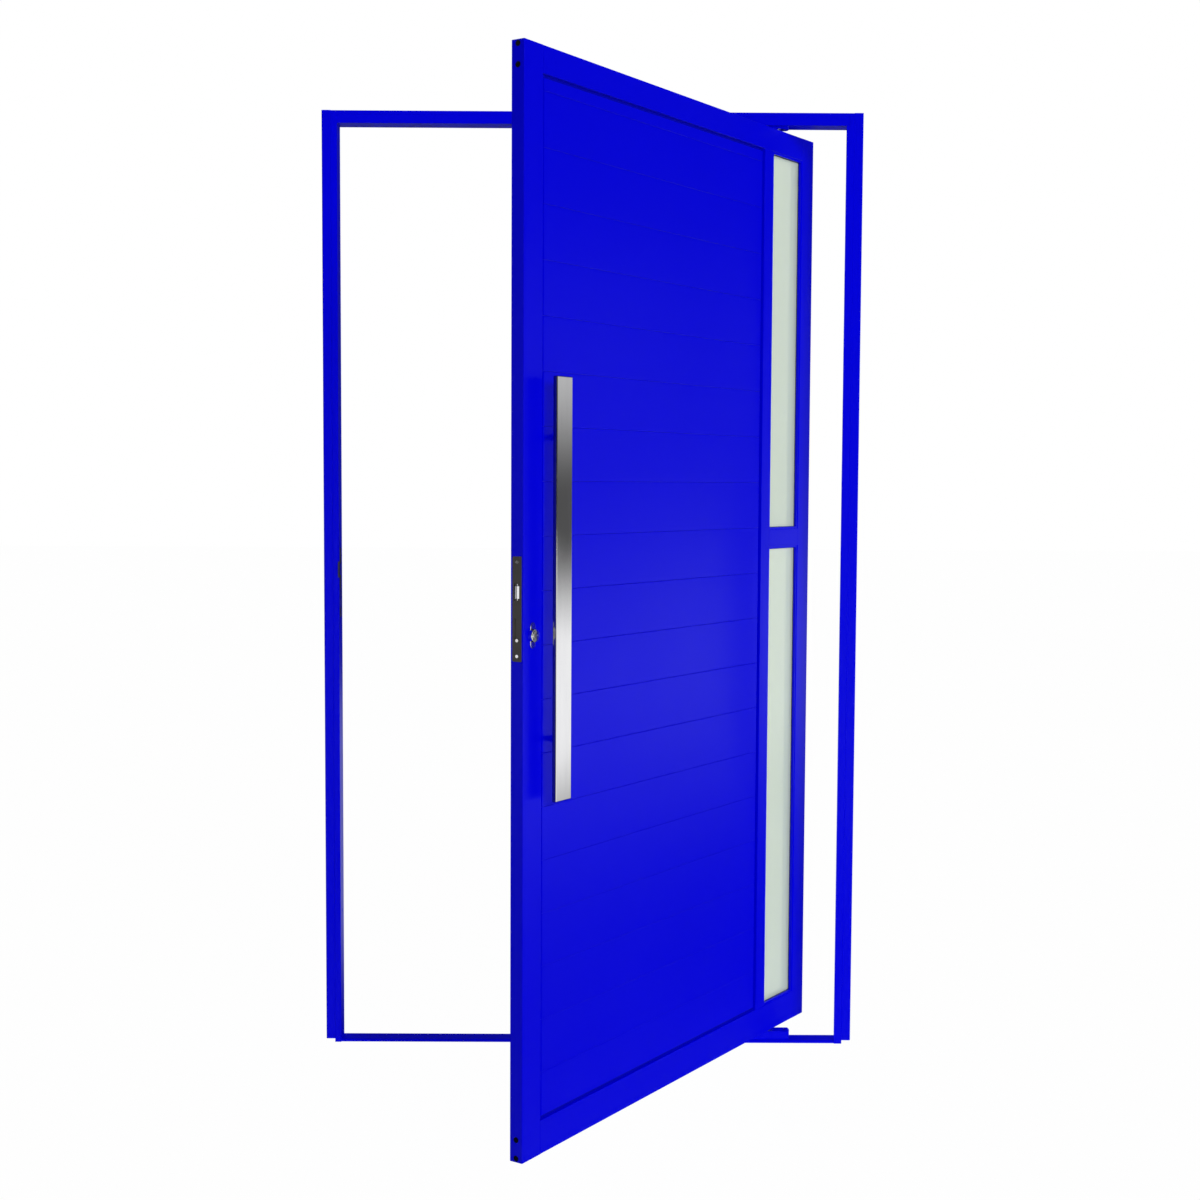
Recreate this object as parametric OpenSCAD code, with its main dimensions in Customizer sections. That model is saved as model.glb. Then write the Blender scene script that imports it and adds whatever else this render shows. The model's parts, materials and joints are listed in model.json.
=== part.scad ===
// Pivot entry door: an aluminium frame with a leaf that turns on a top and a bottom pin.
// Millimetres. +X is right, +Y goes away from the viewer, +Z is up.
// The origin is on the underside of the threshold, in the middle of the frame's width and of the leaf's thickness.
// The leaf is drawn closed, with x measured back from its pivot-side edge, and is then turned open.

/* [Frame] */
// Overall width over the outer flanges
frame_w = 1200; // [1000:10:1500]
// Overall height from the threshold's underside
frame_h = 2100; // [1900:10:2400]
// Depth of the frame through the wall
frame_depth = 50; // [46:1:80]
// Wall of the hollow frame profiles
frame_wall = 2; // [1.6:0.1:2.6]
// Width of the outer flange on the two sides
flange_w = 20; // [14:1:30]
// Height of the outer flange over the head
head_flange_h = 9; // [8:1:20]
// Thickness of the outer flange
flange_t = 5; // [4:0.5:7]
// Radius of the flange's outer corner
flange_round = 3; // [1:0.5:3.5]
// Depth of the leg that clips the flange to the profile
clip_leg = 14; // [10:1:20]
// Width of the hollow jamb profile
jamb_w = 14; // [12:1:24]
// Height of the hollow head profile
head_h = 19; // [14:1:30]
// Height of the flange's foot over the floor
flange_foot = 8; // [4:1:14]
// Reach of the front lip on the pivot jamb
pivot_lip = 3; // [2:0.5:4]
// Step behind that lip
pivot_step = 3; // [2:0.5:4]
// Diameter of a wall fixing hole
fixing_d = 6.5; // [5:0.5:8]
// Height of the lower wall fixing
fixing_low = 300; // [200:10:500]
// Height of the upper wall fixing
fixing_high = 1700; // [1500:10:1800]

/* [Threshold] */
// Height of the threshold bar
threshold_h = 6; // [5:0.5:8]
// Depth of the threshold bar
threshold_depth = 44; // [38:1:46]
// Bevel on the long edges of the threshold
threshold_bevel = 2.5; // [1:0.5:3]

/* [Leaf] */
// Angle at which the leaf stands open, from closed
open_deg = 56; // [0:1:90]
// Thickness of the leaf
leaf_t = 28; // [26:1:36]
// Gap between the leaf and each jamb
side_gap = 6; // [6:0.5:10]
// Gap between the leaf and the head
top_gap = 10; // [9:0.5:16]
// Height of the leaf's lower edge over the threshold
bottom_gap = 24; // [20:1:30]
// Distance from the leaf's pivot-side edge to the pivot axis
pivot_set = 148; // [120:1:200]
// Wall of the hollow leaf profiles
leaf_wall = 1.8; // [1.4:0.1:2.4]
// Width of the stile at the lock
lock_stile_w = 58; // [56:1:80]
// Width of the stile beside the glass
pivot_stile_w = 54; // [40:1:80]
// Height of the top rail
top_rail_h = 50; // [44:1:80]
// Height of the bottom rail
bottom_rail_h = 64; // [60:1:90]
// Width of the upright between glass and slats
mullion_w = 38; // [30:1:60]
// Height of the cross rail between the two panes
mid_rail_h = 38; // [30:1:60]
// Height of that rail's lower edge
mid_rail_z = 1140; // [900:10:1300]

/* [Glass] */
// Clear width between the members beside the glass
glass_opening = 138; // [100:1:200]
// Thickness of a pane
glass_t = 6; // [4:1:8]
// Depth of the pane's front face behind the leaf's face
glass_recess = 8; // [7:0.5:9]
// Face width of a glazing bead
bead_w = 5; // [4:0.5:9]
// Depth of the beads behind the leaf's faces
bead_recess = 1.5; // [0.5:0.5:2]
// Thickness of the gasket on each side of the pane
gasket_t = 1.5; // [1:0.25:2]
// How far the gasket shows past the bead
gasket_show = 1; // [1:0.5:3]
// Gap around the pane's edge, inside the gasket
pane_gap = 3; // [2:0.5:4]

/* [Slats] */
// Height of one slat from joint to joint
slat_pitch = 100; // [80:5:150]
// Height of the lowest joint
first_joint_z = 183; // [160:1:200]
// Thickness of a slat
slat_t = 22; // [18:1:24]
// Wall of a hollow slat
slat_wall = 1.3; // [1:0.1:1.6]
// Bevel along each slat edge, which makes the joint lines
slat_bevel = 1.6; // [0.8:0.2:2.2]
// Height of the tongue on a slat's upper edge
tongue_h = 5; // [4:0.5:6]
// Thickness of that tongue
tongue_t = 6; // [5:0.5:8]
// Width of the shadow groove around the slats
groove_w = 6; // [4:0.5:8]
// Thickness of the strip at the bottom of the shadow groove
groove_strip_t = 14; // [10:1:16]

/* [Pivots] */
// Diameter of the pivot pins
pin_d = 12; // [10:1:14]
// Length of each pin inside its bush
pin_reach = 20; // [16:1:26]
// Length of the bottom pivot block
bottom_block_l = 100; // [80:1:120]
// Length of the top pivot block
top_block_l = 50; // [40:1:60]
// Depth of the pivot blocks
block_depth = 30; // [26:1:34]
// Space between a pivot block and the leaf
block_gap = 5; // [5:0.5:6]
// Length of the bush blocks in the rails
bush_l = 60; // [50:1:80]
// Diameter of the bush's collar
collar_d = 24; // [20:1:25]

/* [Pull bars] */
// Length of a pull bar
pull_l = 776; // [600:2:900]
// Height of the pull bar's lower end
pull_z = 697; // [600:1:760]
// Width of a pull bar
pull_w = 49; // [30:1:60]
// Thickness of a pull bar
pull_t = 9; // [6:1:15]
// Clear gap between a pull bar and the leaf's face
pull_gap = 26; // [24:1:40]
// Distance from the lock stile's inner edge to the bar's centre
pull_in = 21; // [18:1:40]
// Bevel on the bar's long edges
pull_bevel = 1.5; // [0.5:0.25:3]
// Diameter of the posts that carry the bar
post_d = 10; // [9:1:12]
// Distance from a bar's end to its nearer post
post_inset = 110; // [60:5:160]
// Distance from the bar's edge on the pivot side to its posts
post_in = 8.5; // [8:0.5:14]
// Diameter of the foot under a post
foot_d = 14; // [13:1:18]
// Thickness of that foot
foot_t = 2; // [1.5:0.5:4]
// Diameter of the bolt that joins both posts through the leaf
bolt_d = 6; // [5:0.5:6.5]

/* [Lock] */
// Height of the key cylinder's centre
lock_z = 1004; // [980:1:1040]
// Distance from the lock edge to the key cylinder
backset = 27; // [24:1:28]
// Length of the faceplate
plate_l = 191; // [180:1:220]
// Width of the faceplate
plate_w = 21; // [18:1:22]
// Thickness of the faceplate
plate_t = 2.5; // [2:0.25:3]
// Distance from the faceplate's lower end to the key cylinder
plate_below = 47; // [44:1:54]
// Thickness of the lock case
case_t = 16; // [14:1:18]
// Depth of the lock case
case_depth = 44; // [42:1:46]
// Length of the bolt slot
bolt_slot_l = 38; // [30:1:40]
// Width of the bolt slot
bolt_slot_w = 9; // [7:0.5:10]
// Distance from the key cylinder to the bolt slot's middle
bolt_rise = 12; // [8:1:14]
// Distance from the key cylinder to the roller's middle
roller_rise = 79; // [76:1:90]
// Diameter of the latch roller
roller_d = 11; // [9:0.5:12]
// Height of the latch roller
roller_h = 24; // [20:1:28]
// How far the roller stands out of the faceplate
roller_out = 3; // [2:0.25:3]
// How far the roller can be pushed in
roller_travel = 5; // [3:0.5:5]
// Height of the escutcheon over its two ears
ear_h = 48; // [44:1:56]
// Width of the ears
ear_w = 15; // [12:0.5:18]
// Thickness of the ears
ear_t = 2.5; // [1.5:0.5:3]
// Diameter of the escutcheon's ring
ring_d = 24.5; // [23:0.5:28]
// Height of the ring over the leaf's face
ring_t = 8; // [6:0.5:10]
// Diameter of the key cylinder
key_d = 17; // [16:0.5:18]
// How far the key cylinder stands out of the escutcheon
key_out = 1; // [0.5:0.5:4]
// Length of the strike plate
strike_l = 157; // [140:1:170]
// Width of the strike plate
strike_w = 22; // [20:1:24]
// Thickness of the strike plate
strike_t = 1.2; // [1:0.1:1.4]
// Height of the strike plate's curved lip
strike_lip_h = 36; // [30:1:44]
// Radius of that lip
strike_lip_r = 3; // [2:0.5:4]
// Length of the roller's carriage
carriage_l = 22; // [18:1:24]
// Thickness of the carriage above and below the roller
carriage_lug = 3; // [2:0.5:4]
// Length of the bolt
bolt_l = 28; // [24:1:30]
// Height of the lock case's ends inside the faceplate's ends
case_inset = 14; // [10:1:16]
// Diameter of the plugs over the frame screws
plug_d = 11; // [6:0.5:11]

/* [Hidden] */
$fn = 48;

blue = [0, 0, 0.83];
deep_blue = [0, 0, 0.6];
black = [0.06, 0.06, 0.07];
satin = [0.5, 0.49, 0.47];
chrome = [0.82, 0.83, 0.85];
clear_green = [0.8, 0.88, 0.82, 0.5];

// Clearances that the fits are made with, and how far a cutter passes a face
seat = 0.3;
slat_gap = 0.3;
running = 0.05;
slip = 0.1;
pocket_gap = 1;
cut = 1;

// Small edges and faces that no fit depends on
edge_break = 0.6;
set_back = 1;
strike_lip_angle = 75;
plug_rim = 1;
plug_rim_t = 1.5;
ring_edge = 1;
keyway_w = 2;
keyway_h = 9;
keyway_depth = 3;

// Distances of the frame screws from the leaf's lower and upper edges
lower_screws = [7, 42];
upper_screws = [44, 7];

half_depth = frame_depth / 2;
half_leaf = leaf_t / 2;
reveal_x = frame_w / 2 - flange_w - jamb_w;
outer_x = reveal_x + jamb_w;
step_x = reveal_x + pivot_step;
body_top = frame_h - head_flange_h;
head_z = body_top - head_h;
lip_t = frame_wall;

leaf_w = 2 * (reveal_x - side_gap);
leaf_z0 = threshold_h + bottom_gap;
leaf_z1 = head_z - top_gap;
pivot_x = reveal_x - side_gap - pivot_set;
panel_z0 = leaf_z0 + bottom_rail_h;
panel_z1 = leaf_z1 - top_rail_h;
mullion_s = pivot_stile_w + glass_opening;
slats_s = mullion_s + mullion_w;
lock_stile_s = leaf_w - lock_stile_w;

glass_y = -half_leaf + glass_recess;
gasket_front_y = glass_y - gasket_t;
gasket_back_y = glass_y + glass_t + gasket_t;
bead_front_y = -half_leaf + bead_recess;
bead_back_y = half_leaf - bead_recess;
pane_heights = [[panel_z0, mid_rail_z], [mid_rail_z + mid_rail_h, panel_z1]];

shortest_slat = 2 * (tongue_h + slat_wall);
full_slats = floor((panel_z1 - groove_w - first_joint_z - shortest_slat) / slat_pitch);
joints = [for (i = [0 : full_slats]) first_joint_z + i * slat_pitch];
slat_ends = concat([panel_z0 + groove_w], joints, [panel_z1 - groove_w]);

pull_s = lock_stile_s - pull_in;
post_s = pull_s - pull_w / 2 + post_in;
slat_face = slat_t / 2;
post_heights = [pull_z + post_inset, pull_z + pull_l - post_inset];
key_s = leaf_w - backset;
plate_z0 = lock_z - plate_below;
plate_z1 = plate_z0 + plate_l;
bolt_z = lock_z + bolt_rise;
roller_z = lock_z + roller_rise;
case_z0 = plate_z0 + case_inset;
case_z1 = plate_z1 - case_inset;
bolt_front_s = leaf_w - set_back;
carriage_front_s = leaf_w - set_back;
roller_s = leaf_w + roller_out - roller_d / 2;
roller_pin_d = roller_d / 3;
fork_h = roller_h / 2 + carriage_lug;
bolt_end = half_leaf + pull_gap / 2;
plug_heights = concat([for (up = lower_screws) leaf_z0 + up], [for (down = upper_screws) leaf_z1 - down]);

// Turns the closed leaf to the angle at which it stands
module hung() {
    translate([pivot_x, 0, 0])
        rotate([0, 0, open_deg])
            translate([pivot_set, 0, 0])
                children();
}

// A block in the closed leaf, between two distances from the pivot-side edge
module block(s0, s1, y0, y1, z0, z1) {
    translate([-s1, y0, z0])
        cube([s1 - s0, y1 - y0, z1 - z0]);
}

// A round bar through the leaf's thickness
module cross_bar(s, z, d, y0, y1) {
    translate([-s, y1, z])
        rotate([90, 0, 0])
            cylinder(d = d, h = y1 - y0);
}

// A rectangle with its corners cut off
module bevelled(w, h, c) {
    polygon([
        [c, 0], [w - c, 0], [w, c], [w, h - c],
        [w - c, h], [c, h], [0, h - c], [0, c]
    ]);
}

// A hollow rectangular profile
module hollow(w, h, wall) {
    difference() {
        bevelled(w, h, edge_break);
        translate([wall, wall])
            square([w - 2 * wall, h - 2 * wall]);
    }
}

// A hollow profile that runs up the leaf
module upright(s0, s1, z0, z1) {
    translate([-s1, -half_leaf, z0])
        linear_extrude(height = z1 - z0)
            hollow(s1 - s0, leaf_t, leaf_wall);
}

// A hollow profile that runs across the leaf
module crosswise(s0, s1, z0, z1) {
    translate([-s1, -half_leaf, z0])
        rotate([90, 0, 90])
            linear_extrude(height = s1 - s0)
                hollow(leaf_t, z1 - z0, leaf_wall);
}

// Wall fixing holes through one jamb
module fixing_holes(x) {
    for (z = [fixing_low, fixing_high])
        translate([x - cut, 0, z])
            rotate([0, 90, 0])
                cylinder(d = fixing_d, h = jamb_w + 2 * cut);
}

module lock_jamb() {
    color(blue)
        difference() {
            translate([-outer_x, -half_depth, 0])
                linear_extrude(height = body_top)
                    hollow(jamb_w, frame_depth, frame_wall);
            fixing_holes(-outer_x);
            strike_shape(strike_t, slip);
            strike_pockets(cut);
        }
}

module pivot_jamb() {
    color(blue)
        difference() {
            union() {
                translate([step_x, -half_depth, 0])
                    linear_extrude(height = body_top)
                        hollow(outer_x - step_x, frame_depth, frame_wall);
                translate([reveal_x - pivot_lip, -half_depth, 0])
                    cube([pivot_lip + pivot_step + frame_wall, lip_t, head_z]);
            }
            fixing_holes(outer_x - jamb_w);
        }
}

module head() {
    color(blue)
        translate([-reveal_x, -half_depth, head_z])
            rotate([90, 0, 90])
                linear_extrude(height = reveal_x + step_x)
                    hollow(frame_depth, head_h, frame_wall);
}

// Section of a flange of width w, with a rounded outer corner and a leg that clips to the profile
module flange_section(w) {
    round_r = min(flange_round, flange_t - 1);
    difference() {
        union() {
            square([w, flange_t]);
            translate([w - frame_wall, 0])
                square([frame_wall, flange_t + clip_leg]);
        }
        difference() {
            translate([-cut, -cut])
                square([round_r + cut, round_r + cut]);
            translate([round_r, round_r])
                circle(r = round_r);
        }
    }
}

module side_flange() {
    translate([-frame_w / 2, -half_depth, flange_foot])
        linear_extrude(height = frame_h - flange_foot)
            flange_section(flange_w);
}

module lock_side_flange() {
    color(blue)
        side_flange();
}

module pivot_side_flange() {
    color(blue)
        mirror([1, 0, 0])
            side_flange();
}

module head_flange() {
    color(blue)
        translate([-outer_x, -half_depth, frame_h])
            rotate([90, 0, 90])
                linear_extrude(height = 2 * outer_x)
                    mirror([0, 1])
                        rotate(90)
                            mirror([0, 1])
                                flange_section(head_flange_h);
}

module threshold() {
    color(blue)
        translate([-reveal_x, -threshold_depth / 2, 0])
            rotate([90, 0, 90])
                linear_extrude(height = reveal_x + step_x)
                    polygon([
                        [0, 0], [threshold_depth, 0],
                        [threshold_depth, threshold_h - threshold_bevel],
                        [threshold_depth - threshold_bevel, threshold_h],
                        [threshold_bevel, threshold_h], [0, threshold_h - threshold_bevel]
                    ]);
}

// Outline of the strike plate and its lip, t deep from the jamb's reveal, grown by a clearance
module strike_shape(t, grow) {
    translate([-reveal_x - t, -strike_w / 2 - grow, plate_z0 + (plate_l - strike_l) / 2 - grow])
        cube([t + grow, strike_w + 2 * grow, strike_l + 2 * grow]);
    translate([-reveal_x - t, -half_depth - grow, roller_z - strike_lip_h / 2 - grow])
        cube([t + grow, half_depth - strike_w / 2 + 2 * grow, strike_lip_h + 2 * grow]);
}

// Openings behind the strike plate for the roller and the bolt
module strike_pockets(extra) {
    for (p = [[roller_z, roller_h, roller_d], [bolt_z, bolt_slot_l, bolt_slot_w]])
        translate([-reveal_x - frame_wall - extra, -p[2] / 2 - pocket_gap, p[0] - p[1] / 2 - pocket_gap])
            cube([frame_wall + 2 * extra, p[2] + 2 * pocket_gap, p[1] + 2 * pocket_gap]);
}

module strike_plate() {
    color(satin)
        union() {
            difference() {
                strike_shape(strike_t, 0);
                strike_pockets(cut);
            }
            translate([-reveal_x - strike_lip_r, -half_depth, roller_z - strike_lip_h / 2])
                rotate([0, 0, 180])
                    mirror([1, 0, 0])
                        rotate_extrude(angle = strike_lip_angle)
                            translate([strike_lip_r - strike_t, 0])
                                square([strike_t, strike_lip_h]);
        }
}

// A pivot block of length l with round ends, drawn from its lower face
module pivot_block(l, h) {
    linear_extrude(height = h)
        intersection() {
            square([l, block_depth], center = true);
            circle(d = l);
        }
}

module bottom_pivot_block() {
    color(blue)
        translate([pivot_x, 0, threshold_h])
            pivot_block(bottom_block_l, bottom_gap - block_gap);
}

module top_pivot_block() {
    color(blue)
        translate([pivot_x, 0, leaf_z1 + block_gap])
            pivot_block(top_block_l, top_gap - block_gap);
}

module bottom_pivot_pin() {
    color(chrome)
        translate([pivot_x, 0, leaf_z0 - block_gap])
            cylinder(d = pin_d, h = block_gap + pin_reach);
}

module top_pivot_pin() {
    color(chrome)
        translate([pivot_x, 0, leaf_z1 - pin_reach])
            cylinder(d = pin_d, h = pin_reach + block_gap);
}

module pivot_washer() {
    color(chrome)
        translate([pivot_x, 0, leaf_z0 - block_gap])
            difference() {
                cylinder(d = collar_d, h = block_gap - seat);
                translate([0, 0, -cut])
                    cylinder(d = pin_d + 2 * slip, h = block_gap + 2 * cut);
            }
}

// Screw holes along one edge of the leaf, each closed by a plug
module edge_holes(s) {
    for (z = plug_heights)
        translate([-s - leaf_wall - cut, 0, z])
            rotate([0, 90, 0])
                cylinder(d = plug_d + 2 * slip, h = 2 * (leaf_wall + cut));
}

module lock_stile() {
    color(blue)
        hung()
            difference() {
                upright(lock_stile_s, leaf_w, leaf_z0, leaf_z1);
                edge_holes(leaf_w);
                block(
                    leaf_w - leaf_wall - cut, leaf_w + cut,
                    -plate_w / 2 - slip, plate_w / 2 + slip,
                    plate_z0 - slip, plate_z1 + slip
                );
                cross_bar(key_s, lock_z, key_d + 2 * pocket_gap, -half_leaf - cut, half_leaf + cut);
            }
}

module pivot_stile() {
    color(blue)
        hung()
            difference() {
                upright(0, pivot_stile_w, leaf_z0, leaf_z1);
                edge_holes(0);
            }
}

// Hole in a rail's wall for the collar of a bush
module collar_hole(z) {
    translate([-pivot_set, 0, z - leaf_wall - cut])
        cylinder(d = collar_d + 2 * slip, h = 2 * (leaf_wall + cut));
}

module top_rail() {
    color(blue)
        hung()
            difference() {
                crosswise(pivot_stile_w, lock_stile_s, panel_z1, leaf_z1);
                collar_hole(leaf_z1);
            }
}

module bottom_rail() {
    color(blue)
        hung()
            difference() {
                crosswise(pivot_stile_w, lock_stile_s, leaf_z0, panel_z0);
                collar_hole(leaf_z0);
            }
}

module mullion() {
    color(blue)
        hung()
            upright(mullion_s, slats_s, panel_z0, panel_z1);
}

module mid_rail() {
    color(blue)
        hung()
            crosswise(pivot_stile_w, mullion_s, mid_rail_z, mid_rail_z + mid_rail_h);
}

// A rectangular ring in the leaf, w wide inwards from its outer edge
module ring(s0, s1, z0, z1, w, y0, y1) {
    difference() {
        block(s0, s1, y0, y1, z0, z1);
        block(s0 + w, s1 - w, y0 - cut, y1 + cut, z0 + w, z1 - w);
    }
}

module slat_surround() {
    color(deep_blue)
        hung()
            ring(
                slats_s, lock_stile_s, panel_z0, panel_z1, groove_w,
                -groove_strip_t / 2, groove_strip_t / 2
            );
}

// Section of one hollow slat of height h, with its thickness along x
module slat_section(h, tongue, groove) {
    inner_t = slat_t - 2 * slat_wall;
    groove_floor = groove ? tongue_h + slat_wall + slip : 0;
    cavity_z = max(groove_floor, slat_wall) + slat_wall / 2;
    difference() {
        union() {
            translate([-slat_t / 2, 0])
                bevelled(slat_t, h, slat_bevel);
            if (tongue)
                translate([-tongue_t / 2, h - cut])
                    square([tongue_t, tongue_h + cut]);
        }
        translate([-inner_t / 2, cavity_z])
            square([inner_t, h - cavity_z - slat_bevel - slat_wall]);
        if (groove)
            translate([-tongue_t / 2 - seat, -cut])
                square([tongue_t + 2 * seat, tongue_h + seat + cut]);
    }
}

// All the slats, one above the other
module slats() {
    for (i = [0 : len(slat_ends) - 2])
        translate([-(lock_stile_s - groove_w - seat), 0, slat_ends[i] + (i == 0 ? seat : 0)])
            rotate([90, 0, 90])
                linear_extrude(height = lock_stile_s - slats_s - 2 * (groove_w + seat))
                    slat_section(
                        slat_ends[i + 1] - slat_ends[i] - slat_gap - (i == 0 ? seat : 0),
                        i < len(slat_ends) - 2,
                        i > 0
                    );
}

module slat_panel() {
    color(blue)
        hung()
            difference() {
                slats();
                for (z = post_heights)
                    cross_bar(post_s, z, bolt_d + 2 * slip, -slat_face - cut, slat_face + cut);
            }
}

// One pane, between the heights in span
module pane(span) {
    block(
        pivot_stile_w + pane_gap, mullion_s - pane_gap,
        glass_y, glass_y + glass_t,
        span[0] + pane_gap, span[1] - pane_gap
    );
}

module lower_glass() {
    color(clear_green)
        hung()
            pane(pane_heights[0]);
}

module upper_glass() {
    color(clear_green)
        hung()
            pane(pane_heights[1]);
}

module glazing_gaskets() {
    color(black)
        hung()
            for (span = pane_heights)
                difference() {
                    ring(
                        pivot_stile_w, mullion_s, span[0], span[1], bead_w + gasket_show,
                        gasket_front_y, gasket_back_y
                    );
                    pane(span);
                }
}

// Glazing beads around both panes, between two depths
module beads(y0, y1) {
    for (span = pane_heights)
        ring(pivot_stile_w, mullion_s, span[0], span[1], bead_w, y0, y1);
}

module front_beads() {
    color(blue)
        hung()
            beads(bead_front_y, gasket_front_y);
}

module back_beads() {
    color(blue)
        hung()
            beads(gasket_back_y, bead_back_y);
}

// A bush in a rail, drawn upwards from the rail's outer face
module bush() {
    inner_depth = leaf_t - 2 * leaf_wall;
    difference() {
        union() {
            cylinder(d = collar_d, h = leaf_wall + cut);
            translate([-bush_l / 2, -inner_depth / 2, leaf_wall])
                cube([bush_l, inner_depth, pin_reach]);
        }
        translate([0, 0, -cut])
            cylinder(d = pin_d + 2 * running, h = pin_reach + leaf_wall + 2 * cut);
    }
}

module bottom_bush() {
    color(satin)
        hung()
            translate([-pivot_set, 0, leaf_z0])
                bush();
}

module top_bush() {
    color(satin)
        hung()
            translate([-pivot_set, 0, leaf_z1])
                mirror([0, 0, 1])
                    bush();
}

// A plug over a screw, drawn into the leaf from its edge along +x
module plug() {
    rotate([0, 90, 0]) {
        cylinder(d = plug_d, h = leaf_wall);
        translate([0, 0, leaf_wall])
            cylinder(d = plug_d + 2 * plug_rim, h = plug_rim_t);
    }
}

module edge_plugs() {
    color(black)
        hung()
            for (z = plug_heights) {
                translate([-leaf_w, 0, z])
                    plug();
                translate([0, 0, z])
                    mirror([1, 0, 0])
                        plug();
            }
}

// A pull bar on the leaf's front face
module pull_bar() {
    translate([-pull_s - pull_w / 2, -half_leaf - pull_gap - pull_t, pull_z])
        linear_extrude(height = pull_l)
            bevelled(pull_w, pull_t, pull_bevel);
}

// The posts of the front pull bar, each with a foot on the slats and a blind bore for its bolt
module pull_posts() {
    for (z = post_heights)
        difference() {
            union() {
                cross_bar(post_s, z, post_d, -half_leaf - pull_gap, -slat_face);
                cross_bar(post_s, z, foot_d, -slat_face - foot_t, -slat_face);
            }
            cross_bar(post_s, z, bolt_d + 2 * slip, -bolt_end, -slat_face + cut);
        }
}

// Sets a front piece on the leaf's back face
module on_back() {
    mirror([0, 1, 0])
        children();
}

module pull_bar_front() {
    color(chrome)
        hung()
            pull_bar();
}

module pull_bar_back() {
    color(chrome)
        hung()
            on_back()
                pull_bar();
}

module pull_posts_front() {
    color(blue)
        hung()
            pull_posts();
}

module pull_posts_back() {
    color(blue)
        hung()
            on_back()
                pull_posts();
}

module pull_bolts() {
    color(satin)
        hung()
            for (z = post_heights)
                cross_bar(post_s, z, bolt_d, -bolt_end, bolt_end);
}

module lock_faceplate() {
    color(satin)
        hung()
            difference() {
                block(leaf_w - plate_t, leaf_w, -plate_w / 2, plate_w / 2, plate_z0, plate_z1);
                bolt_slot(slip, plate_t + cut);
                roller_way(plate_t + cut);
            }
}

// The space that the bolt fills, d deep from the faceplate's face
module bolt_slot(grow, d) {
    block(
        leaf_w - d, leaf_w + cut,
        -bolt_slot_w / 2 - grow, bolt_slot_w / 2 + grow,
        bolt_z - bolt_slot_l / 2 - grow, bolt_z + bolt_slot_l / 2 + grow
    );
}

// The space that the roller and its carriage slide in, d deep from the faceplate's face
module roller_way(d) {
    block(
        leaf_w - d, leaf_w + cut,
        -roller_d / 2 - seat, roller_d / 2 + seat,
        roller_z - fork_h - seat, roller_z + fork_h + seat
    );
}

module lock_case() {
    color(satin)
        hung()
            difference() {
                block(
                    leaf_w - plate_t - case_depth, leaf_w - plate_t,
                    -case_t / 2, case_t / 2, case_z0, case_z1
                );
                bolt_slot(slip, bolt_l + cut);
                roller_way(carriage_l + roller_travel + 2 * cut);
                cross_bar(key_s, lock_z, key_d + 2 * slip, -case_t, case_t);
            }
}

module deadbolt() {
    color(satin)
        hung()
            difference() {
                block(
                    leaf_w - bolt_l, bolt_front_s,
                    -bolt_slot_w / 2, bolt_slot_w / 2,
                    bolt_z - bolt_slot_l / 2, bolt_z + bolt_slot_l / 2
                );
                cross_bar(key_s, lock_z, key_d + 2 * slip, -case_t, case_t);
            }
}

// A thin plate with two ears and a raised ring on the front face, bored for the key cylinder
module escutcheon() {
    difference() {
        translate([-key_s, -half_leaf, lock_z])
            rotate([90, 0, 0]) {
                oval(ear_w, ear_h, ear_t);
                cylinder(d = ring_d, h = ring_t - ring_edge);
                translate([0, 0, ring_t - ring_edge])
                    cylinder(d1 = ring_d, d2 = ring_d - 2 * ring_edge, h = ring_edge);
            }
        cross_bar(key_s, lock_z, key_d + 2 * slip, -half_leaf - ring_t - cut, -half_leaf + cut);
    }
}

// A flat-sided oval of width w and height h
module oval(w, h, t) {
    linear_extrude(height = t) {
        square([w, h - w], center = true);
        for (side = [-1, 1])
            translate([0, side * (h - w) / 2])
                circle(d = w);
    }
}

module escutcheon_front() {
    color(chrome)
        hung()
            escutcheon();
}

module escutcheon_back() {
    color(chrome)
        hung()
            on_back()
                escutcheon();
}

module key_cylinder() {
    reach = half_leaf + ring_t + key_out;
    color(satin)
        hung()
            difference() {
                cross_bar(key_s, lock_z, key_d, -reach, reach);
                for (side = [-1, 1])
                    translate([-key_s, side * reach, lock_z])
                        cube([keyway_w, 2 * keyway_depth, keyway_h], center = true);
            }
}

module latch_carriage() {
    color(satin)
        hung()
            difference() {
                block(
                    leaf_w - carriage_l, carriage_front_s,
                    -roller_d / 2, roller_d / 2, roller_z - fork_h, roller_z + fork_h
                );
                block(
                    roller_s - roller_d / 2 - cut, leaf_w + roller_out,
                    -roller_d, roller_d, roller_z - roller_h / 2 - seat, roller_z + roller_h / 2 + seat
                );
                translate([-roller_s, 0, roller_z - fork_h - cut])
                    cylinder(d = roller_pin_d + 2 * running, h = 2 * (fork_h + cut));
            }
}

module latch_roller() {
    color(chrome)
        hung()
            translate([-roller_s, 0, roller_z]) {
                cylinder(d = roller_d, h = roller_h, center = true);
                cylinder(d = roller_pin_d, h = 2 * fork_h, center = true);
            }
}

lock_jamb();
pivot_jamb();
head();
lock_side_flange();
pivot_side_flange();
head_flange();
threshold();
strike_plate();
bottom_pivot_block();
top_pivot_block();
bottom_pivot_pin();
top_pivot_pin();
pivot_washer();
lock_stile();
pivot_stile();
top_rail();
bottom_rail();
mullion();
mid_rail();
slat_surround();
slat_panel();
upper_glass();
lower_glass();
glazing_gaskets();
front_beads();
back_beads();
bottom_bush();
top_bush();
edge_plugs();
pull_bar_front();
pull_bar_back();
pull_posts_front();
pull_posts_back();
pull_bolts();
lock_faceplate();
lock_case();
deadbolt();
escutcheon_front();
escutcheon_back();
key_cylinder();
latch_carriage();
latch_roller();
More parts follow.
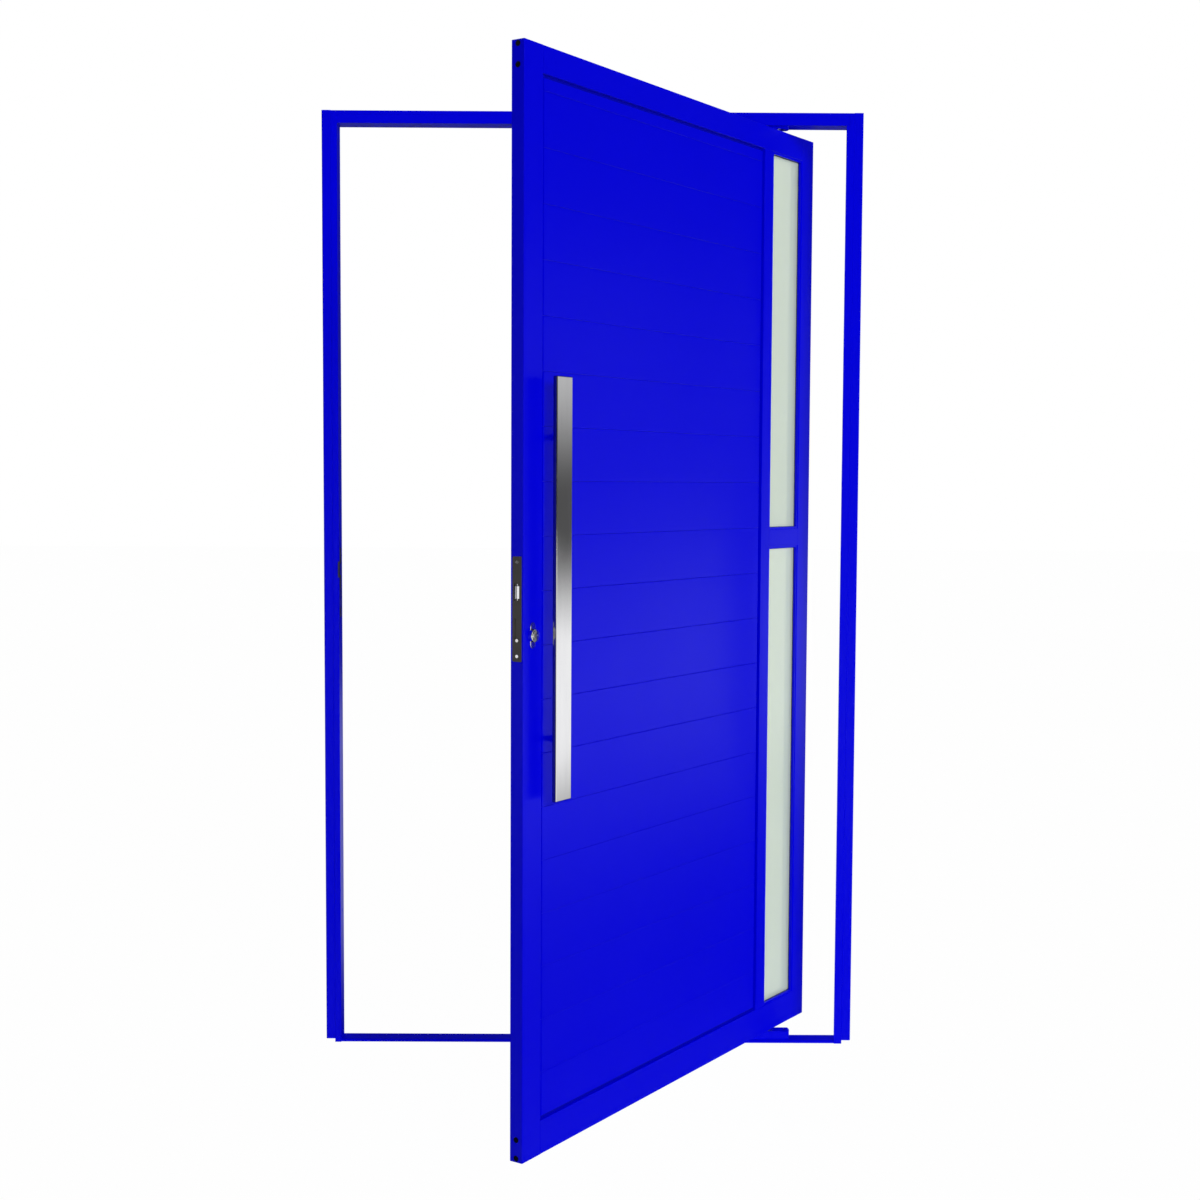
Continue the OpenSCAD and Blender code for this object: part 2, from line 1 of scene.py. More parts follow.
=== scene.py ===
"""Dresses the pivot entry door: its finishes, the small parts of its lock and pulls, the light and the camera."""

import json
import logging
import math
from dataclasses import dataclass
from dataclasses import field
from enum import Enum
from typing import Any
from typing import Callable
from typing import Iterable
from typing import Sequence

import bpy
from mathutils import Matrix
from mathutils import Vector


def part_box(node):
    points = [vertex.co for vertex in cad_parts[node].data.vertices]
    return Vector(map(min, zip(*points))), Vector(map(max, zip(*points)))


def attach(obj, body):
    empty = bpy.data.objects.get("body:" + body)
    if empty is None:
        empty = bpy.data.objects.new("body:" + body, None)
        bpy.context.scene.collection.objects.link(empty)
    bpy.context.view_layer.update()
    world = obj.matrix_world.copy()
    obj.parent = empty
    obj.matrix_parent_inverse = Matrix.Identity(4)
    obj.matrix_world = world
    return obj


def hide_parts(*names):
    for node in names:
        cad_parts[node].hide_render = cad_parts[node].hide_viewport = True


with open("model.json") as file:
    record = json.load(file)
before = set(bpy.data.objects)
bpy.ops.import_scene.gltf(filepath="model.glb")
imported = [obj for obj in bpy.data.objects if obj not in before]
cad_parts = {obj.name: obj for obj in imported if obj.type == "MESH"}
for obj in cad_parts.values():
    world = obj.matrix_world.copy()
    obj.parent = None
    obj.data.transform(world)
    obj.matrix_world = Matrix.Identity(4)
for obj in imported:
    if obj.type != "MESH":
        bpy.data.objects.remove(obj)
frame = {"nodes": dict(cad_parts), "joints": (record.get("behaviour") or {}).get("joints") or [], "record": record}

log = logging.getLogger("pivot_door")

MM = 0.001
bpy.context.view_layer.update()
FaceTest = Callable[[bpy.types.MeshPolygon], bool]


class Value:
    """A shader socket that can be used in Python sums."""

    def __init__(self, recipe: "Recipe", socket: bpy.types.NodeSocket) -> None:
        """Keeps the socket and the recipe that it belongs to.

        Args:
            recipe: The material's node tree.
            socket: An output socket that gives one number.
        """
        self.recipe = recipe
        self.socket = socket

    def _sum(self, operation: str, *terms: Any) -> "Value":
        """Adds one Math node.

        Args:
            operation: The Math node's operation.
            terms: What goes into its sockets, in order.

        Returns:
            The node's result.
        """
        made = self.recipe.node("ShaderNodeMath", {"operation": operation}, dict(enumerate(terms)))
        return Value(self.recipe, made.outputs[0])

    def __add__(self, other: Any) -> "Value":
        """Returns this plus the other."""
        return self._sum("ADD", self, other)

    def __radd__(self, other: Any) -> "Value":
        """Returns the other plus this."""
        return self._sum("ADD", other, self)

    def __sub__(self, other: Any) -> "Value":
        """Returns this minus the other."""
        return self._sum("SUBTRACT", self, other)

    def __rsub__(self, other: Any) -> "Value":
        """Returns the other minus this."""
        return self._sum("SUBTRACT", other, self)

    def __mul__(self, other: Any) -> "Value":
        """Returns this times the other."""
        return self._sum("MULTIPLY", self, other)

    def __rmul__(self, other: Any) -> "Value":
        """Returns the other times this."""
        return self._sum("MULTIPLY", other, self)

    def __pow__(self, other: Any) -> "Value":
        """Returns this raised to the other."""
        return self._sum("POWER", self, other)

    def between(self, low: float, high: float) -> "Value":
        """Stretches the span from low to high over 0 to 1, with soft ends.

        Args:
            low: The value that becomes 0.
            high: The value that becomes 1.

        Returns:
            The stretched value, held between 0 and 1.
        """
        made = self.recipe.node(
            "ShaderNodeMapRange",
            {"interpolation_type": "SMOOTHSTEP"},
            {"Value": self, "From Min": low, "From Max": high},
        )
        return Value(self.recipe, made.outputs[0])


class Recipe:
    """The node tree of one material or of the world."""

    def __init__(self, tree: bpy.types.NodeTree) -> None:
        """Empties the tree.

        Args:
            tree: The tree to fill.
        """
        self.tree = tree
        self.tree.nodes.clear()

    def node(self, kind: str, settings: dict[str, Any], inputs: dict[Any, Any]) -> bpy.types.Node:
        """Adds a node.

        Args:
            kind: The node's type.
            settings: Its properties, which are set first.
            inputs: The number, colour or link of each socket, by name or number.

        Returns:
            The new node.
        """
        made = self.tree.nodes.new(kind)
        for name, setting in settings.items():
            setattr(made, name, setting)
        for key, given in inputs.items():
            socket = made.inputs[key]
            if isinstance(given, Value):
                self.tree.links.new(given.socket, socket)
            elif isinstance(given, bpy.types.NodeSocket):
                self.tree.links.new(given, socket)
            else:
                socket.default_value = given
        return made

    def place(self, scale: Sequence[float] = (1.0, 1.0, 1.0)) -> bpy.types.NodeSocket:
        """Gives the place on the object in metres.

        Args:
            scale: How much each axis is stretched.

        Returns:
            A vector socket.
        """
        coordinates = self.node("ShaderNodeTexCoord", {}, {})
        mapping = self.node("ShaderNodeMapping", {}, {"Vector": coordinates.outputs["Object"], "Scale": scale})
        return mapping.outputs["Vector"]

    def noise(self, scale: float, detail: float = 2.0, stretch: Sequence[float] = (1.0, 1.0, 1.0)) -> Value:
        """Gives a cloudy pattern.

        Args:
            scale: Clouds per metre.
            detail: Octaves of finer cloud.
            stretch: How much each axis is stretched.

        Returns:
            A value about 0.5.
        """
        made = self.node(
            "ShaderNodeTexNoise",
            {"noise_dimensions": "3D"},
            {"Vector": self.place(stretch), "Scale": scale, "Detail": detail, "Roughness": 0.5},
        )
        return Value(self, made.outputs["Fac"])

    def height(self) -> Value:
        """Gives the height over the floor in metres."""
        split = self.node("ShaderNodeSeparateXYZ", {}, {"Vector": self.place()})
        return Value(self, split.outputs["Z"])

    def blend(self, share: Value, low: Sequence[float], high: Sequence[float]) -> bpy.types.NodeSocket:
        """Mixes two colours.

        Args:
            share: 0 for the first colour and 1 for the second.
            low: The first colour.
            high: The second colour.

        Returns:
            A colour socket.
        """
        made = self.node(
            "ShaderNodeMix",
            {"data_type": "RGBA"},
            {0: share, 6: (*low, 1.0), 7: (*high, 1.0)},
        )
        return made.outputs[2]

    def bump(self, height: Value, distance: float, strength: float = 1.0) -> bpy.types.NodeSocket:
        """Turns a height pattern into a normal.

        Args:
            height: The pattern.
            distance: Its depth in metres.
            strength: How much of it shows.

        Returns:
            A normal socket.
        """
        made = self.node("ShaderNodeBump", {}, {"Height": height, "Distance": distance, "Strength": strength})
        return made.outputs["Normal"]

    def glow(self, strength: float) -> bpy.types.NodeSocket:
        """Gives a white backdrop.

        Args:
            strength: How bright it is, where 1 is white.

        Returns:
            A shader socket.
        """
        made = self.node("ShaderNodeBackground", {}, {"Color": (1.0, 1.0, 1.0, 1.0), "Strength": strength})
        return made.outputs[0]

    def merge(self, share: Value, low: bpy.types.NodeSocket, high: bpy.types.NodeSocket) -> bpy.types.NodeSocket:
        """Mixes two shaders.

        Args:
            share: 0 for the first shader and 1 for the second.
            low: The first shader.
            high: The second shader.

        Returns:
            A shader socket.
        """
        return self.node("ShaderNodeMixShader", {}, {0: share, 1: low, 2: high}).outputs[0]

    def shade(self, inputs: dict[Any, Any]) -> None:
        """Closes the tree with a Principled shader.

        Args:
            inputs: What goes into the shader's sockets.
        """
        shader = self.node("ShaderNodeBsdfPrincipled", {}, inputs)
        self.node("ShaderNodeOutputMaterial", {}, {"Surface": shader.outputs[0]})


def recipe_for(name: str) -> tuple[bpy.types.Material, Recipe]:
    """Makes an empty material.

    Args:
        name: The material's name.

    Returns:
        The material and its recipe.
    """
    material = bpy.data.materials.new(name)
    material.use_nodes = True
    return material, Recipe(material.node_tree)


@dataclass(frozen=True)
class PowderCoat:
    """Stoved blue powder paint on aluminium, with a faint orange peel."""

    name: str = "blue_powder_coat"
    slot: str = "blue_paint"
    color: tuple[float, float, float] = (0.0, 0.0, 0.66)
    faded: tuple[float, float, float] = (0.0, 0.0, 0.7)
    roughness: float = 0.3
    sheen_level: float = 0.12
    peel_per_metre: float = 420.0
    peel_depth: float = 0.00004

    def make(self) -> bpy.types.Material:
        """Returns the finished material."""
        material, recipe = recipe_for(self.name)
        clouds = recipe.noise(2.5, 3.0)
        grime = 1.0 - recipe.height().between(0.0, 0.25)
        rough = self.roughness + 0.06 * (recipe.noise(14.0, 3.0) - 0.5) + 0.1 * grime
        peel = recipe.noise(self.peel_per_metre, 1.0)
        recipe.shade(
            {
                "Base Color": recipe.blend(clouds, self.color, self.faded),
                "Roughness": rough,
                "Specular IOR Level": self.sheen_level,
                "Normal": recipe.bump(peel, self.peel_depth),
            }
        )
        return material


@dataclass(frozen=True)
class Chrome:
    """Polished chrome plate with faint wipe marks."""

    name: str = "polished_chrome"
    slot: str = "polished_steel"
    color: tuple[float, float, float] = (0.86, 0.86, 0.87)
    cloudy: tuple[float, float, float] = (0.78, 0.78, 0.8)
    roughness: float = 0.06

    def make(self) -> bpy.types.Material:
        """Returns the finished material."""
        material, recipe = recipe_for(self.name)
        wipes = recipe.noise(18.0, 4.0, (3.0, 3.0, 0.6))
        recipe.shade(
            {
                "Base Color": recipe.blend(wipes, self.color, self.cloudy),
                "Metallic": 1.0,
                "Roughness": self.roughness + 0.05 * wipes.between(0.45, 0.8),
                "Normal": recipe.bump(recipe.noise(220.0, 1.0), 0.000004),
            }
        )
        return material


@dataclass(frozen=True)
class SatinSteel:
    """Stainless steel brushed along its length."""

    name: str = "brushed_stainless"
    slot: str = "satin_steel"
    color: tuple[float, float, float] = (0.16, 0.15, 0.145)
    light: tuple[float, float, float] = (0.26, 0.245, 0.235)
    roughness: float = 0.34

    def make(self) -> bpy.types.Material:
        """Returns the finished material."""
        material, recipe = recipe_for(self.name)
        lines = recipe.noise(90.0, 4.0, (14.0, 14.0, 0.5))
        recipe.shade(
            {
                "Base Color": recipe.blend(lines, self.color, self.light),
                "Metallic": 1.0,
                "Roughness": self.roughness + 0.2 * (lines - 0.5),
                "Normal": recipe.bump(lines, 0.00001),
            }
        )
        return material


@dataclass(frozen=True)
class ClearGlass:
    """Float glass with its slight green tint."""

    name: str = "float_glass"
    slot: str = "clear_glass"
    color: tuple[float, float, float] = (0.645, 0.73, 0.595)
    filmed: tuple[float, float, float] = (0.62, 0.705, 0.58)
    alpha: float = 0.68
    sheen_level: float = 0.25

    def make(self) -> bpy.types.Material:
        """Returns the finished material."""
        material, recipe = recipe_for(self.name)
        film = recipe.noise(9.0, 3.0)
        recipe.shade(
            {
                "Base Color": recipe.blend(film, self.color, self.filmed),
                "Roughness": 0.03 + 0.03 * film.between(0.5, 0.8),
                "Alpha": self.alpha + 0.06 * (film - 0.5),
                "Specular IOR Level": self.sheen_level,
                "IOR": 1.5,
            }
        )
        return material


@dataclass(frozen=True)
class Moulded:
    """A dark moulded rubber or plastic."""

    name: str
    slot: str
    color: tuple[float, float, float]
    roughness: float
    grain_per_metre: float
    sheen_level: float = 0.5

    def make(self) -> bpy.types.Material:
        """Returns the finished material."""
        material, recipe = recipe_for(self.name)
        grain = recipe.noise(self.grain_per_metre, 2.0)
        dusty = tuple(1.5 * c + 0.004 for c in self.color)
        recipe.shade(
            {
                "Base Color": recipe.blend(recipe.noise(30.0, 3.0).between(0.4, 0.8), self.color, dusty),
                "Roughness": self.roughness + 0.15 * (grain - 0.5),
                "Specular IOR Level": self.sheen_level,
                "Normal": recipe.bump(grain, 0.00003),
            }
        )
        return material


class Finish(Enum):
    """The finishes on the door."""

    BLUE = PowderCoat()
    # The groove finish is the blue paint made darker: painted shade in the recessed groove round the slat panel.
    GROOVE_SHADE = PowderCoat(
        name="groove_painted_shade_coat",
        slot="groove_paint",
        color=(0.0, 0.0, 0.36),
        faded=(0.001, 0.002, 0.42),
        roughness=0.45,
        sheen_level=0.08,
    )
    CHROME = Chrome()
    # A darker copy of the polished chrome: painted shade for the pull bars' side faces.
    SHADED = Chrome(name="painted_shade_chrome", color=(0.26, 0.26, 0.28), cloudy=(0.22, 0.22, 0.24), roughness=0.12)
    SATIN = SatinSteel()
    GLASS = ClearGlass()
    RUBBER = Moulded("gasket_rubber", "gasket_rubber", (0.012, 0.012, 0.014), 0.62, 900.0)
    PLASTIC = Moulded("plug_plastic", "plug_plastic", (0.004, 0.004, 0.005), 0.5, 1400.0, 0.15)


class Paintshop:
    """Makes each finish once and hands it out."""

    def __init__(self) -> None:
        """Starts with no material made."""
        self.made: dict[Finish, bpy.types.Material] = {}

    def material(self, finish: Finish) -> bpy.types.Material:
        """Gives a finish's material.

        Args:
            finish: The finish.

        Returns:
            Its material, which is made at its first use.
        """
        if finish not in self.made:
            self.made[finish] = finish.value.make()
        return self.made[finish]

    def paint(self, piece: bpy.types.Object, finish: Finish) -> None:
        """Gives a piece one finish all over.

        Args:
            piece: The mesh object.
            finish: Its finish.
        """
        piece.data.materials.clear()
        piece.data.materials.append(self.material(finish))


class Bench:
    """Shapes new pieces with Blender's own operators."""

    def __init__(self, shop: Paintshop) -> None:
        """Keeps the paint shop.

        Args:
            shop: Where the materials come from.
        """
        self.shop = shop

    def clear(self) -> None:
        """Leaves edit mode and deselects everything."""
        if bpy.context.object and bpy.context.object.mode != "OBJECT":
            bpy.ops.object.mode_set(mode="OBJECT")
        bpy.ops.object.select_all(action="DESELECT")

    def hold(self, piece: bpy.types.Object) -> None:
        """Makes a piece the only one selected.

        Args:
            piece: The piece to work on.
        """
        self.clear()
        piece.select_set(True)
        bpy.context.view_layer.objects.active = piece

    def cube(self, name: str, low: Sequence[float], high: Sequence[float]) -> bpy.types.Object:
        """Adds a block.

        Args:
            name: The new object's name.
            low: Its lowest corner.
            high: Its highest corner.

        Returns:
            The new object.
        """
        self.clear()
        centre = (Vector(low) + Vector(high)) / 2
        size = Vector(high) - Vector(low)
        bpy.ops.mesh.primitive_cube_add(size=1.0, location=centre, scale=size)
        return self._named(name)

    def rod(
        self, name: str, radius: float, low: Sequence[float], high: Sequence[float], sides: int = 48
    ) -> bpy.types.Object:
        """Adds a round bar.

        Args:
            name: The new object's name.
            radius: The bar's radius.
            low: The centre of one end.
            high: The centre of the other end.
            sides: Faces round the bar.

        Returns:
            The new object.
        """
        self.clear()
        along = Vector(high) - Vector(low)
        bpy.ops.mesh.primitive_cylinder_add(
            vertices=sides,
            radius=radius,
            depth=along.length,
            location=(Vector(high) + Vector(low)) / 2,
            rotation=along.to_track_quat("Z", "Y").to_euler(),
        )
        return self._named(name)

    def _named(self, name: str) -> bpy.types.Object:
        """Names the active object and sets its place in its mesh.

        Args:
            name: The new name.

        Returns:
            The object.
        """
        piece = bpy.context.object
        piece.name = name
        piece.data.name = name
        bpy.ops.object.transform_apply(location=True, rotation=True, scale=True)
        return piece

    def pick(self, piece: bpy.types.Object, test: FaceTest) -> None:
        """Enters edit mode with the faces that pass a test selected.

        Args:
            piece: The piece to work on.
            test: Says whether a face is wanted.
        """
        self.hold(piece)
        mesh = piece.data
        for vertex in mesh.vertices:
            vertex.select = False
        for edge in mesh.edges:
            edge.select = False
        for face in mesh.polygons:
            face.select = test(face)
        bpy.ops.object.mode_set(mode="EDIT")
        bpy.ops.mesh.select_mode(type="FACE")

    def inset(self, piece: bpy.types.Object, test: FaceTest, thickness: float, depth: float = 0.0) -> None:
        """Insets faces, and sinks or lifts what is inside the rim.

        Args:
            piece: The piece to work on.
            test: Says whether a face is wanted.
            thickness: The rim's width.
            depth: How far the inner face moves out.
        """
        self.pick(piece, test)
        bpy.ops.mesh.inset(thickness=thickness, depth=0.0)
        if depth:
            bpy.ops.mesh.inset(thickness=0.0, depth=depth)
        bpy.ops.object.mode_set(mode="OBJECT")

    def round_corners(self, piece: bpy.types.Object, axis: int, radius: float, segments: int) -> None:
        """Rounds the four edges of a block that run along one axis.

        Args:
            piece: The block.
            axis: The axis, 0 to 2.
            radius: The corners' radius.
            segments: Faces round each corner.
        """
        self.hold(piece)
        mesh = piece.data
        for items in (mesh.vertices, mesh.polygons):
            for item in items:
                item.select = False
        for edge in mesh.edges:
            first, second = (mesh.vertices[i].co for i in edge.vertices)
            along = second - first
            edge.select = abs(along[axis]) > 0.9 * along.length
        bpy.ops.object.mode_set(mode="EDIT")
        bpy.ops.mesh.select_mode(type="EDGE")
        bpy.ops.mesh.bevel(offset=radius, segments=segments, affect="EDGES")
        bpy.ops.object.mode_set(mode="OBJECT")

    def round_edges(self, piece: bpy.types.Object, width: float, segments: int = 3, angle: float = 35.0) -> None:
        """Rounds every edge that is sharper than an angle.

        Args:
            piece: The piece to work on.
            width: The rounding's width.
            segments: Faces across it.
            angle: The sharpest angle left alone, in degrees.
        """
        self.hold(piece)
        bevel = piece.modifiers.new("rounding", "BEVEL")
        bevel.width = width
        bevel.segments = segments
        bevel.limit_method = "ANGLE"
        bevel.angle_limit = math.radians(angle)
        bevel.use_clamp_overlap = True
        bpy.ops.object.modifier_apply(modifier=bevel.name)

    def bore(self, piece: bpy.types.Object, cutter: bpy.types.Object) -> None:
        """Cuts one solid out of another and removes the cutter.

        Args:
            piece: The piece that is cut.
            cutter: The shape that is taken away.
        """
        self.hold(piece)
        cut = piece.modifiers.new("bore", "BOOLEAN")
        cut.operation = "DIFFERENCE"
        cut.solver = "EXACT"
        cut.object = cutter
        bpy.ops.object.modifier_apply(modifier=cut.name)
        bpy.data.objects.remove(cutter)

    def copy(self, piece: bpy.types.Object, name: str, matrix: Matrix) -> bpy.types.Object:
        """Copies a piece to another place, with its own mesh.

        Args:
            piece: The piece to copy.
            name: The copy's name.
            matrix: Carries the piece to the copy's place.

        Returns:
            The copy.
        """
        twin = piece.copy()
        twin.data = piece.data.copy()
        twin.name = name
        twin.data.name = name
        bpy.context.scene.collection.objects.link(twin)
        self.move(twin, matrix)
        return twin

    def move(self, piece: bpy.types.Object, matrix: Matrix) -> None:
        """Moves a piece and keeps its object at the origin.

        Args:
            piece: The piece to move.
            matrix: Where it goes.
        """
        self.hold(piece)
        piece.matrix_world = matrix
        bpy.ops.object.transform_apply(location=True, rotation=True, scale=True)

    def join(self, pieces: Sequence[bpy.types.Object], name: str) -> bpy.types.Object:
        """Joins pieces into one object.

        Args:
            pieces: What is joined.
            name: The new name.

        Returns:
            The joined object.
        """
        self.hold(pieces[0])
        for piece in pieces:
            piece.select_set(True)
        if len(pieces) > 1:
            bpy.ops.object.join()
        joined = bpy.context.object
        joined.name = name
        joined.data.name = name
        return joined

    def hand_over(
        self, piece: bpy.types.Object, finish: Finish, body: str, stands_for: Iterable[str] = ()
    ) -> bpy.types.Object:
        """Finishes a piece: normals, smooth shading, paint and the body that it rides on.

        Args:
            piece: The piece.
            finish: Its finish.
            body: The body that carries it.
            stands_for: The plain nodes that it replaces.

        Returns:
            The piece.
        """
        self.hold(piece)
        bpy.ops.object.mode_set(mode="EDIT")
        bpy.ops.mesh.select_all(action="SELECT")
        bpy.ops.mesh.remove_doubles(threshold=0.000001)
        bpy.ops.mesh.normals_make_consistent(inside=False)
        bpy.ops.object.mode_set(mode="OBJECT")
        bpy.ops.object.shade_smooth_by_angle(angle=math.radians(32))
        level = piece.modifiers.new("level", "WEIGHTED_NORMAL")
        level.keep_sharp = True
        bpy.ops.object.modifier_apply(modifier=level.name)
        self.shop.paint(piece, finish)
        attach(piece, body)
        nodes = list(stands_for)
        if nodes:
            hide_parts(*nodes)
        log.info("%s: %d faces on %s", piece.name, len(piece.data.polygons), body)
        return piece


@dataclass
class LeafPlane:
    """Carries pieces that are drawn on the closed leaf to where the leaf stands."""

    pivot: Vector = field(default_factory=lambda: Vector(frame["joints"][0]["pos_m"]))
    open_angle: float = field(default_factory=lambda: -math.radians(frame["joints"][0]["range_deg"][0]))

    def turned(self) -> Matrix:
        """Returns the turn from closed to where the leaf stands."""
        there = Matrix.Translation(self.pivot)
        return there @ Matrix.Rotation(self.open_angle, 4, "Z") @ there.inverted()

    def flat_box(self, node: str) -> tuple[Vector, Vector]:
        """Measures a node of the leaf with the leaf turned shut.

        Args:
            node: The node's name.

        Returns:
            Its lowest and highest corner there.
        """
        back = self.turned().inverted()
        corners = [back @ vertex.co for vertex in frame["nodes"][node].data.vertices]
        low = Vector(tuple(min(c[i] for c in corners) for i in range(3)))
        high = Vector(tuple(max(c[i] for c in corners) for i in range(3)))
        return low, high


@dataclass
class CrossScrew:
    """A countersunk screw head with a cross recess, drawn at the origin and facing +Z."""

    bench: Bench
    radius: float = 3.4 * MM
    height: float = 0.5 * MM
    slot_width: float = 0.9 * MM
    slot_depth: float = 0.35 * MM

    def make(self) -> bpy.types.Object:
        """Returns one screw head."""
        bench = self.bench
        screw = bench.rod("screw", self.radius, (0, 0, -self.height), (0, 0, self.height), 32)
        bench.round_edges(screw, self.height * 0.8, 3)
        reach = self.radius * 0.62
        half = self.slot_width / 2
        for name, x, y in (("slot_x", reach, half), ("slot_y", half, reach)):
            cutter = bench.cube(name, (-x, -y, self.height - self.slot_depth), (x, y, 2 * self.height))
            bench.bore(screw, cutter)
        return screw

    def row(self, name: str, places: Sequence[tuple[Vector, Vector]]) -> bpy.types.Object:
        """Sets one screw at each place.

        Args:
            name: The joined object's name.
            places: For each screw, where it sits and which way it faces.

        Returns:
            All the screws as one object.
        """
        first = self.make()
        screws = []
        for number, (place, facing) in enumerate(places):
            matrix = Matrix.Translation(place) @ facing.to_track_quat("Z", "Y").to_matrix().to_4x4()
            screws.append(self.bench.copy(first, f"{name}_{number}", matrix))
        bpy.data.objects.remove(first)
        return self.bench.join(screws, name)


@dataclass
class SlatBoards:
    """The slats that fill the leaf, with a fine rounded joint line between them."""

    bench: Bench
    plane: LeafPlane
    pitch: float = 100.0 * MM
    first_joint: float = 183.0 * MM
    shortest: float = 12.0 * MM
    edge: float = 1.2 * MM

    def build(self) -> None:
        """Builds a board between each pair of joints and joins them all."""
        low, high = self.plane.flat_box("slat_panel")
        count = int((high.z - self.first_joint - self.shortest) / self.pitch)
        heights = [low.z] + [self.first_joint + i * self.pitch for i in range(count + 1)] + [high.z]
        boards = []
        for foot, top in zip(heights, heights[1:]):
            board = self.bench.cube("board", (low.x, low.y, foot), (high.x, high.y, top))
            self.bench.round_edges(board, self.edge, 2)
            boards.append(board)
        joined = self.bench.join(boards, "slat_boards")
        self.bench.move(joined, self.plane.turned())
        self.bench.hand_over(joined, Finish.BLUE, "leaf", ["slat_panel"])


@dataclass
class PullBars:
    """The two long pull bars and the posts that carry them."""

    bench: Bench
    plane: LeafPlane
    edge_round: float = 1.6 * MM
    cap_rim: float = 1.1 * MM
    cap_sink: float = 0.35 * MM
    post_radius: float = 5.0 * MM
    foot_thickness: float = 2.0 * MM
    foot_round: float = 0.7 * MM
    grub_radius: float = 1.6 * MM
    grub_depth: float = 1.2 * MM

    def bar(self, side: str) -> bpy.types.Object:
        """Builds one bar with a polished face, sides in a darker chrome that paints their shade, rounded edges and
        sunk end caps.

        Args:
            side: Which face of the leaf it is on.

        Returns:
            The finished bar.
        """
        node = f"pull_bar_{side}"
        low, high = self.plane.flat_box(node)
        bar = self.bench.cube(f"polished_bar_{side}", low, high)
        self.bench.round_edges(bar, self.edge_round, 4)
        self.bench.inset(bar, lambda face: abs(face.normal.z) > 0.99, self.cap_rim, -self.cap_sink)
        sides = [face.index for face in bar.data.polygons if abs(face.normal.x) > 0.7]
        self.bench.move(bar, self.plane.turned())
        self.bench.hand_over(bar, Finish.CHROME, "leaf", [node])
        # The side faces take the darker chrome copy: painted shade on them.
        bar.data.materials.append(self.bench.shop.material(Finish.SHADED))
        for index in sides:
            bar.data.polygons[index].material_index = 1
        return bar

    def posts(self, side: str) -> bpy.types.Object:
        """Builds the two posts of one bar, each with a foot and a grub screw socket.

        Args:
            side: Which face of the leaf they are on.

        Returns:
            Both posts as one object.
        """
        node = f"pull_posts_{side}"
        low, high = self.plane.flat_box(node)
        foot_radius = (high.x - low.x) / 2
        x = (low.x + high.x) / 2
        leaf_y, bar_y = (high.y, low.y) if side == "front" else (low.y, high.y)
        out = math.copysign(1.0, bar_y - leaf_y)
        posts = []
        for z in (low.z + foot_radius, high.z - foot_radius):
            post = self.bench.rod("post", self.post_radius, (x, leaf_y, z), (x, bar_y, z), 40)
            foot_y = leaf_y + out * self.foot_thickness
            foot = self.bench.rod("foot", foot_radius, (x, leaf_y, z), (x, foot_y, z), 48)
            self.bench.round_edges(foot, self.foot_round, 3)
            grub_y = leaf_y + out * 4 * self.foot_thickness
            deep = (x, grub_y, z - self.post_radius + self.grub_depth)
            grub = self.bench.rod("grub", self.grub_radius, deep, (x, grub_y, z - 2 * self.post_radius), 6)
            self.bench.bore(post, grub)
            posts += [post, foot]
        joined = self.bench.join(posts, f"bar_posts_{side}")
        self.bench.move(joined, self.plane.turned())
        return self.bench.hand_over(joined, Finish.BLUE, "leaf", [node])

    def build(self) -> None:
        """Builds both bars and their posts."""
        for side in ("front", "back"):
            self.bar(side)
            self.posts(side)


